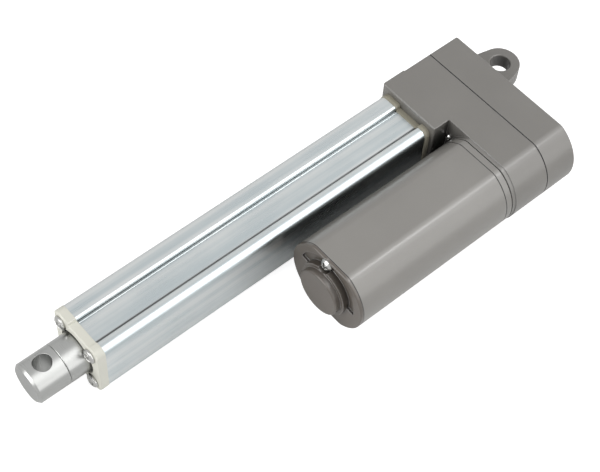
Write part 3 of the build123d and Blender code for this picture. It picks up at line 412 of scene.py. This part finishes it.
class ActuatorStudio(bpy.types.PropertyGroup):
    """The camera, the floor and the lamps."""

    lens: FloatProperty(name="Lens", description="Focal length", unit="CAMERA", min=10.0, default=87.775)
    camera_place: FloatVectorProperty(
        name="Camera", description="Where the camera stands", subtype="TRANSLATION", size=3,
        default=(0.4145, 0.2884, 0.5562),
    )
    camera_turn: FloatVectorProperty(
        name="Camera Turn", description="How the camera is turned", subtype="EULER", size=3,
        default=(radians(34.516), radians(-2.631), radians(139.307)),
    )
    key_power: FloatProperty(
        name="Key", description="Strength of the overhead lamp", unit="POWER", default=7.4
    )
    spark_power: FloatProperty(
        name="Spark", description="Strength of the small lamp inside the key", unit="POWER", default=1.8
    )
    fill_power: FloatProperty(name="Fill", description="Strength of the side lamp", unit="POWER", default=2.2)
    front_power: FloatProperty(
        name="Front", description="Strength of the lamp before the rod", unit="POWER", default=7.6
    )
    sky: FloatProperty(name="Sky", description="Level of the surrounding light", min=0.0, default=0.2)
    mirrored: FloatProperty(
        name="Mirrored Sky", description="How white the surroundings look in polished metal",
        min=0.0, max=1.0, default=0.9,
    )
    floor: FloatProperty(name="Floor", description="Own brightness of the pale floor", min=0.0, default=0.86)
    floor_in_metal: FloatProperty(
        name="Mirrored Floor", description="How much of that brightness polished metal shows",
        min=0.0, max=1.0, default=0.06,
    )


# Surfaces on grids

def corners_of(node):
    """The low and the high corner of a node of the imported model."""
    low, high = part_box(node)
    return np.array(low), np.array(high)


def close_poles(mesh):
    """Joins the points that a grid puts in one place, where a profile meets its axis."""
    work = bmesh.new()
    work.from_mesh(mesh)
    bmesh.ops.remove_doubles(work, verts=work.verts, dist=0.0001 * MM)
    work.to_mesh(mesh)
    work.free()


def grid_object(name, points, wrap_rows=False):
    """A mesh over a rows by columns grid of points, or over several such grids of one size stacked in
    front. The last column joins the first, and where rows wrap the last row joins the first too. The
    faces of a piece turned about x look outwards when its rows run towards +x."""
    rows, columns = points.shape[-3:-1]
    index = np.arange(points.size // 3).reshape(-1, rows, columns)
    if wrap_rows:
        index = np.concatenate([index, index[:, :1]], axis=1)
    index = np.concatenate([index, index[:, :, :1]], axis=2)
    around = [index[:, :-1, :-1], index[:, :-1, 1:], index[:, 1:, 1:], index[:, 1:, :-1]]
    quads = np.stack(around, axis=-1).reshape(-1, 4)
    mesh = bpy.data.meshes.new(name)
    mesh.vertices.add(points.size // 3)
    mesh.vertices.foreach_set("co", points.reshape(-1).astype(np.float32))
    mesh.loops.add(quads.size)
    mesh.loops.foreach_set("vertex_index", quads.reshape(-1).astype(np.int32))
    mesh.polygons.add(len(quads))
    mesh.polygons.foreach_set("loop_start", np.arange(0, quads.size, 4, dtype=np.int32))
    mesh.polygons.foreach_set("use_smooth", np.ones(len(quads), dtype=bool))
    mesh.update(calc_edges=True)
    mesh.validate()
    close_poles(mesh)
    mesh.set_sharp_from_angle(angle=radians(32.0))
    made = bpy.data.objects.new(name, mesh)
    bpy.context.scene.collection.objects.link(made)
    return made


def dress(made, finish, slot, body, *nodes):
    """Gives a new piece its finish, lets it ride on a body and stand in for nodes. Its slot is not used."""
    made.data.materials.append(finish)
    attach(made, body)
    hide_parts(*nodes)


def rounded_outline(corners, radii, steps):
    """A closed outline whose corners are arcs: each arc's centre lies on the corner's bisector,
    one radius over the sine of half the corner's angle away, and its points run between the two tangents."""
    corners = np.asarray(corners, float)
    pieces = []
    for before, here, after, radius in zip(
        np.roll(corners, 1, 0), corners, np.roll(corners, -1, 0), radii
    ):
        back = (before - here) / np.linalg.norm(before - here)
        ahead = (after - here) / np.linalg.norm(after - here)
        half = np.arccos(np.clip(back @ ahead, -1, 1)) / 2
        bisector = (back + ahead) / np.linalg.norm(back + ahead)
        centre = here + bisector * radius / np.sin(half)
        first = here + back * radius / np.tan(half) - centre
        last = here + ahead * radius / np.tan(half) - centre
        start = np.arctan2(first[1], first[0])
        sweep = (np.arctan2(last[1], last[0]) - start + np.pi) % (2 * np.pi) - np.pi
        angle = start + sweep * np.linspace(0, 1, steps)
        pieces.append(centre + radius * np.stack([np.cos(angle), np.sin(angle)], axis=-1))
    return np.vstack(pieces)


def along_x(outline, stations):
    """A closed outline in y and z carried to each station along x, as a grid of points."""
    stations = np.asarray(stations, float)
    rows = np.broadcast_to(outline, (len(stations), *outline.shape))
    return np.concatenate([np.broadcast_to(stations[:, None, None], (*rows.shape[:2], 1)), rows], axis=-1)


def tube_outline(half, shapes):
    """The tube's outline in y and z: a rounded square, recessed above and below by a shallow panel that
    lies nearer the motor, with a groove by its near foot and a fine bead between two at its far foot."""
    near, far, groove = shapes.recess_near, shapes.recess_far, shapes.groove_depth
    panel = half - shapes.recess_depth
    corner_arc, fine_arc = 3.5 * MM, 0.12 * MM
    near_lip_arc, near_foot_arc, far_lip_arc = 0.69 * MM, 0.23 * MM, 1.6 * MM
    # Corners across the panel, and whether they lie at the bottom of a groove
    crossing = [
        (near - 0.75 * MM, False), (near - 0.95 * MM, True), (near - 1.45 * MM, True),
        (near - 1.65 * MM, False), (far + 1.45 * MM, False), (far + 1.2 * MM, True),
        (far + 0.9 * MM, False), (far + 0.55 * MM, False), (far + 0.35 * MM, True), (far, True),
    ]
    side = [
        (half, half, corner_arc),
        (near, half, near_lip_arc),
        (near, panel, near_foot_arc),
        *((y, panel - groove if sunk else panel, fine_arc) for y, sunk in crossing),
        (far, half, far_lip_arc),
        (-half, half, corner_arc),
    ]
    corners = [(y, z) for y, z, radius in side] + [(y, -z) for y, z, radius in reversed(side)]
    radii = [radius for y, z, radius in side]
    return rounded_outline(corners, radii + radii[::-1], shapes.arc_steps)


def pan_head_screws(name, node, layout, head_radius, head_height, shank_radius, swell):
    """Pan-head screws facing +X, turned from one profile, with a cross recess sunk into each dome.

    They stand where the node's box says: layout gives each screw's corner of it as signs of y and z. The
    dome falls from its top as a power of the radius. The recess is a smooth step across the nearer arm of
    the cross times one along it, times its depth. Swell is how far the head reaches past the solid's."""
    low, high = corners_of(node)
    middle = (low + high) / 2
    reach = (high - low) / 2 - head_radius
    seat = high[0] - head_height
    tip = low[0] - seat
    head_radius += swell
    rim = 0.08 * head_height
    dome_fall, dome_power = 0.58, 2.6
    arm_half_width, arm_length, recess_depth = 0.22 * head_radius, 0.66 * head_radius, 0.5 * head_height
    dome_rows, points_around = 41, 96
    out = np.linspace(0, 1, dome_rows)
    dome = np.stack([head_height * (1 - dome_fall * out**dome_power), head_radius * out], axis=-1)
    body = [
        (rim, head_radius), (0.0, head_radius - rim), (0.0, shank_radius), (tip, shank_radius), (tip, 0.0)
    ]
    x, radius = np.vstack([dome, body]).T[:, :, None]
    angle = np.linspace(0, 2 * np.pi, points_around, endpoint=False)
    y, z = radius * np.cos(angle), radius * np.sin(angle)

    def smooth(value):
        """0 up to nothing, 1 past a tenth of the head's radius and a cubic ease between."""
        share = np.clip(value / (0.1 * head_radius), 0, 1)
        return share * share * (3 - 2 * share)

    across = smooth(arm_half_width - np.minimum(abs(y), abs(z)))
    along = smooth(arm_length - np.maximum(abs(y), abs(z)))
    on_dome = np.arange(len(x))[:, None] < len(dome)
    x = seat + x - recess_depth * across * along * on_dome
    grids = []
    for count, (side, rise) in enumerate(layout):
        roll = 0.35 + 0.9 * count
        turned_y = middle[1] + side * reach[1] + y * np.cos(roll) - z * np.sin(roll)
        turned_z = middle[2] + rise * reach[2] + y * np.sin(roll) + z * np.cos(roll)
        grids.append(np.stack([x, turned_y, turned_z], axis=-1))
    tip_first = np.stack(grids)[:, ::-1]
    return grid_object(name, tip_first)


def threaded_rod(name, steps, root, lead, margin):
    """A turned rod about x whose thickest length carries a trapezoid thread: over each lead the radius
    climbs from the root to the crest and falls back, and its phase turns once with the angle. The crest
    is 0.24 of the lead wide and each flank 0.2. Steps give the plain rod as pairs of x and radius."""
    crest = max(size for place, size in steps)
    start, end = [place for place, size in steps if size == crest]
    before = [step for step in steps if step[0] <= start]
    after = [step for step in steps if step[0] >= end]
    rows_per_lead, points_around = 16, 48
    along = np.arange(start + margin, end - margin, lead / rows_per_lead)
    angle = np.linspace(0, 2 * np.pi, points_around, endpoint=False)
    phase = (along[:, None] / lead - angle / (2 * np.pi)) % 1.0
    threaded = root + (crest - root) * np.clip(1.6 - 5.0 * abs(phase - 0.5), 0, 1)
    places = [(steps[0][0], 0.0), *before, *after, (steps[-1][0], 0.0)]
    x, size = np.array(places).T[:, :, None]
    count = len(before) + 1
    x = np.vstack([x[:count], along[:, None], x[count:]]) + 0 * angle
    size = np.vstack([size[:count] + 0 * angle, threaded, size[count:] + 0 * angle])
    points = np.stack([x, size * np.cos(angle), size * np.sin(angle)], axis=-1)
    return grid_object(name, points)


def finish_nodes(finish, *names):
    """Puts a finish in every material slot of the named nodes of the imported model."""
    for name in names:
        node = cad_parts[name]
        if not node.data.materials:
            node.data.materials.append(finish)
        for place in range(len(node.material_slots)):
            node.material_slots[place].material = finish


# Operators

class ACTUATOR_OT_gearbox(bpy.types.Operator):
    """Finish the cast block, its cover and its seam"""

    bl_idname = "actuator.gearbox"
    bl_label = "Gearbox Block"

    def execute(self, context):
        colours = context.scene.actuator_finishes
        cover_front = corners_of("rear_cover")[1][0]
        seams = [(cover_front, 0.2 * MM)]
        paint = material("casting_paint", satin_paint, list(colours.casting), 1500.0, 0.14, seams)
        finish_nodes(paint, "rear_cover", "gear_housing")
        rubber = material("gasket_rubber", soft_rubber, list(colours.rubber))
        finish_nodes(rubber, "cover_gasket", "motor_gasket", "wiper_seal", "cable_grommet")
        return {"FINISHED"}


class ACTUATOR_OT_motor(bpy.types.Operator):
    """Finish the motor's shell, flange and end cap"""

    bl_idname = "actuator.motor"
    bl_label = "Motor"

    def execute(self, context):
        colours = context.scene.actuator_finishes
        low, high = corners_of("motor_housing")
        flange_seam, cap_seam = (low[0], 0.22 * MM), (high[0], 0.18 * MM)
        seams = [flange_seam, cap_seam]
        shell = material("motor_paint", satin_paint, list(colours.motor), 1900.0, 0.12, seams)
        finish_nodes(shell, "motor_flange", "motor_housing")
        # The end cap's darker paint is painted shade, and its edges get a stronger painted highlight
        cap = material("end_cap_paint", satin_paint, list(colours.end_cap), 1900.0, 0.3, [cap_seam])
        finish_nodes(cap, "motor_end_cap")
        return {"FINISHED"}


class ACTUATOR_OT_tube(bpy.types.Operator):
    """Make the lobed tube's fine surface and finish its cap and collar"""

    bl_idname = "actuator.tube"
    bl_label = "Tube and Caps"

    def execute(self, context):
        colours = context.scene.actuator_finishes
        shapes = context.scene.actuator_shapes
        low, high = corners_of("outer_tube")
        outline = tube_outline(high[1], shapes)
        angle = np.arctan2(outline[:, 1], outline[:, 0])
        bore = shapes.tube_bore * np.stack([np.cos(angle), np.sin(angle)], axis=-1)
        ends = np.array([low[0], high[0]])
        skin = np.concatenate([along_x(outline, ends), along_x(bore, ends[::-1])])
        # Dark lines in the grooves: y, half width and depth of tone
        grooves = [
            (shapes.recess_near - 1.3 * MM, 0.75 * MM, 0.95),
            (shapes.recess_far + 0.2 * MM, 0.3 * MM, 0.6),
            (shapes.recess_far + 1.25 * MM, 0.22 * MM, 0.6),
        ]
        aluminium = material("tube_aluminium", drawn_aluminium, list(colours.tube), grooves)
        tube = grid_object("tube_skin", skin, wrap_rows=True)
        dress(tube, aluminium, "tube_aluminium", "housing", "outer_tube")
        finish_nodes(aluminium, "outer_tube")
        finish_nodes(material("cream_plastic", moulded_plastic, list(colours.cap), 0.42), "front_cap")
        # The collar's cream, darkened as painted shade
        finish_nodes(material("cream_in_painted_shade", moulded_plastic, list(colours.collar), 0.42), "rear_collar")
        return {"FINISHED"}


class ACTUATOR_OT_rod(bpy.types.Operator):
    """Finish the rod and its eye"""

    bl_idname = "actuator.rod"
    bl_label = "Rod and Eye"

    def execute(self, context):
        steel = material("rod_steel", ground_steel, list(context.scene.actuator_finishes.rod))
        finish_nodes(steel, "extension_tube", "rod_eye")
        return {"FINISHED"}


class ACTUATOR_OT_fasteners(bpy.types.Operator):
    """Finish the screws and bolts"""

    bl_idname = "actuator.fasteners"
    bl_label = "Fasteners"

    def execute(self, context):
        plate = material("bright_plate", bright_plate, list(context.scene.actuator_finishes.fastener))
        finish_nodes(
            plate, "cover_screws", "notch_screws", "motor_bolts", "tube_rear_screws", "front_cap_screws"
        )
        square = [(-1, -1), (-1, 1), (1, -1), (1, 1)]
        diagonal = [(-1, 1), (1, -1)]
        # Each group's head radius, head height, shank radius and swell, in millimetres
        groups = (
            ("cap_screws", "front_cap_screws", square, 3.6, 2.2, 1.65, 0.0),
            ("long_bolts", "motor_bolts", diagonal, 3.0, 3.0, 1.5, 0.3),
        )
        for name, node, layout, *sizes in groups:
            made = pan_head_screws(name, node, layout, *[size * MM for size in sizes])
            dress(made, plate, "screw_steel", "housing", node)
        return {"FINISHED"}


# Finishes of the parts inside: a name, a recipe, its values and the nodes that wear it
INNER_FINISHES = (
    (
        "machined_steel", cast_metal, ((0.45, 0.45, 0.46), 1.0, 0.25),
        (
            "idler_plate", "idler_pin", "motor_shaft", "gear_pin", "thrust_spacer", "lead_screw",
            "screw_end_washer", "bearing_outer_race", "bearing_inner_race", "bearing_balls",
            "bearing_retaining_ring", "pinion",
        ),
    ),
    (
        "oiled_bronze", cast_metal, ((0.5, 0.33, 0.16), 1.0, 0.32),
        ("motor_bushes", "screw_rear_bush", "rod_bush", "drive_nut"),
    ),
    ("copper", cast_metal, ((0.62, 0.26, 0.12), 1.0, 0.28), ("commutator", "armature_windings")),
    ("laminated_iron", cast_metal, ((0.12, 0.12, 0.125), 0.8, 0.45), ("armature_core", "field_magnets")),
    (
        "natural_nylon", moulded_plastic, ((0.72, 0.7, 0.62), 0.4),
        ("idler_gear", "main_gear", "bearing_cage", "nut_guide", "rear_plunger", "front_plunger"),
    ),
    (
        "black_plastic", moulded_plastic, ((0.02, 0.02, 0.022), 0.45),
        ("brush_holder", "brushes", "limit_switches"),
    ),
    ("green_board", moulded_plastic, ((0.02, 0.12, 0.05), 0.35), ("switch_board",)),
)


class ACTUATOR_OT_mechanism(bpy.types.Operator):
    """Finish the motor, gears, bearing, screw and switches inside"""

    bl_idname = "actuator.mechanism"
    bl_label = "Mechanism"

    def execute(self, context):
        finishes = {}
        for name, recipe, values, nodes in INNER_FINISHES:
            finishes[name] = material(name, recipe, *values)
            finish_nodes(finishes[name], *nodes)
        low, high = corners_of("lead_screw")
        journal, crest, tip = 4.0 * MM, high[1], 3.0 * MM
        root, lead, margin = 4.6 * MM, 4.0 * MM, 2.0 * MM
        shoulder = corners_of("bearing_inner_race")[1][0]
        washer = corners_of("screw_end_washer")[0][0]
        steps = [
            (low[0], journal), (shoulder, journal), (shoulder, crest), (washer, crest), (washer, tip),
            (high[0], tip),
        ]
        screw = threaded_rod("lead_thread", steps, root, lead, margin)
        dress(screw, finishes["machined_steel"], "machined_steel", "screw", "lead_screw")
        return {"FINISHED"}


# Studio

def pale_floor(bench, own_light, in_metal):
    """A white floor that keeps a soft shadow: most of what the camera sees is its own light, and the
    rest is the lamps' light on it. In polished metal it is mostly a plain white table."""
    seen, mirrored, through = bench.rays()
    shown = bench.clamp(seen + through)
    level = shown * own_light + mirrored * in_metal
    glow = bench.node("ShaderNodeEmission", inputs={"Color": WHITE, "Strength": level})
    table = bench.node("ShaderNodeBsdfDiffuse", inputs={"Color": tint(WHITE, 0.8)})
    dull = bench.node("ShaderNodeBsdfDiffuse", inputs={"Color": tint(WHITE, 0.5)})
    surface = bench.node("ShaderNodeMixShader", inputs={0: shown, 1: table, 2: dull})
    both = bench.node("ShaderNodeAddShader", inputs={0: glow, 1: surface})
    bench.node("ShaderNodeOutputMaterial", inputs={"Surface": both})


def surrounding_light(bench, sky, mirrored):
    """A low even light from all round that looks white to the camera and nearly so in polished metal."""
    seen, glossy, through = bench.rays()
    shown = bench.clamp(seen + glossy * mirrored + through)
    low = bench.node("ShaderNodeBackground", inputs={"Color": WHITE, "Strength": sky})
    plain = bench.node("ShaderNodeBackground", inputs={"Color": WHITE, "Strength": 1.0})
    mix = bench.node("ShaderNodeMixShader", inputs={0: shown, 1: low, 2: plain})
    bench.node("ShaderNodeOutputWorld", inputs={"Surface": mix})


def area_lamp(name, place, target, size, power):
    """A soft rectangular lamp aimed at a point."""
    lamp = bpy.data.lights.new(name, "AREA")
    lamp.shape = "RECTANGLE"
    lamp.size, lamp.size_y = size
    lamp.energy = power
    made = bpy.data.objects.new(name, lamp)
    made.location = place
    made.rotation_euler = (Vector(target) - Vector(place)).to_track_quat("-Z", "Y").to_euler()
    bpy.context.scene.collection.objects.link(made)


def lay_floor(scene, studio):
    """Lay a wide square just under the object."""
    level = CAD_BOX[0][2] - 0.05 * MM
    span = 3.0
    mesh = bpy.data.meshes.new("floor")
    edge = [(-span, -span, level), (span, -span, level), (span, span, level), (-span, span, level)]
    mesh.from_pydata(edge, [], [(0, 1, 2, 3)])
    floor = bpy.data.objects.new("floor", mesh)
    floor.data.materials.append(material("pale_floor", pale_floor, studio.floor, studio.floor_in_metal))
    scene.collection.objects.link(floor)


def set_camera(scene, studio):
    """Stand the camera at the photograph's view."""
    lens = bpy.data.cameras.new("camera")
    lens.lens = studio.lens
    lens.sensor_width = 36.0
    lens.clip_start = 0.01
    camera = bpy.data.objects.new("camera", lens)
    camera.location = studio.camera_place
    camera.rotation_euler = Euler(studio.camera_turn)
    scene.collection.objects.link(camera)
    scene.camera = camera


class ACTUATOR_OT_studio(bpy.types.Operator):
    """Set up the floor, the lamps, the surroundings and the camera"""

    bl_idname = "actuator.studio"
    bl_label = "Studio"

    def execute(self, context):
        scene = context.scene
        studio = scene.actuator_studio
        lay_floor(scene, studio)
        scene.world = bpy.data.worlds.new("surroundings")
        surrounding_light(Bench(scene.world), studio.sky, studio.mirrored)
        # Where each lamp stands, the point it faces, and its width and height, in metres
        middle = (0.13, 0.02, 0.0)
        area_lamp("key", (-0.31, 0.5, 0.88), middle, (1.5, 1.2), studio.key_power)
        area_lamp("spark", (-0.34, 0.47, 0.86), middle, (0.32, 0.32), studio.spark_power)
        area_lamp("strip", (-0.3, 0.98, 0.25), middle, (1.2, 0.45), studio.fill_power)
        area_lamp("front", (1.0, -0.1, 0.5), middle, (0.8, 0.8), studio.front_power)
        set_camera(scene, studio)
        scene.view_settings.view_transform = "Standard"
        return {"FINISHED"}


class ACTUATOR_PT_panel(bpy.types.Panel):
    """Lists the actuator's operators and settings"""

    bl_idname = "ACTUATOR_PT_panel"
    bl_label = "Linear Actuator"
    bl_space_type = "VIEW_3D"
    bl_region_type = "UI"
    bl_category = "Actuator"

    def draw(self, context):
        for made in OPERATORS:
            self.layout.operator(made.bl_idname)
        for group in (
            context.scene.actuator_finishes, context.scene.actuator_shapes, context.scene.actuator_studio
        ):
            for name in group.__annotations__:
                self.layout.prop(group, name)


OPERATORS = (
    ACTUATOR_OT_gearbox, ACTUATOR_OT_motor, ACTUATOR_OT_tube, ACTUATOR_OT_rod, ACTUATOR_OT_fasteners,
    ACTUATOR_OT_mechanism, ACTUATOR_OT_studio,
)
CLASSES = (ActuatorFinishes, ActuatorShapes, ActuatorStudio, *OPERATORS, ACTUATOR_PT_panel)


def register():
    for made in CLASSES:
        bpy.utils.register_class(made)
    bpy.types.Scene.actuator_finishes = PointerProperty(type=ActuatorFinishes)
    bpy.types.Scene.actuator_shapes = PointerProperty(type=ActuatorShapes)
    bpy.types.Scene.actuator_studio = PointerProperty(type=ActuatorStudio)


def unregister():
    del bpy.types.Scene.actuator_studio
    del bpy.types.Scene.actuator_shapes
    del bpy.types.Scene.actuator_finishes
    for made in reversed(CLASSES):
        bpy.utils.unregister_class(made)


def main():
    register()
    bpy.ops.actuator.gearbox()
    bpy.ops.actuator.motor()
    bpy.ops.actuator.tube()
    bpy.ops.actuator.rod()
    bpy.ops.actuator.fasteners()
    bpy.ops.actuator.mechanism()
    bpy.ops.actuator.studio()


if __name__ == "__main__":
    main()
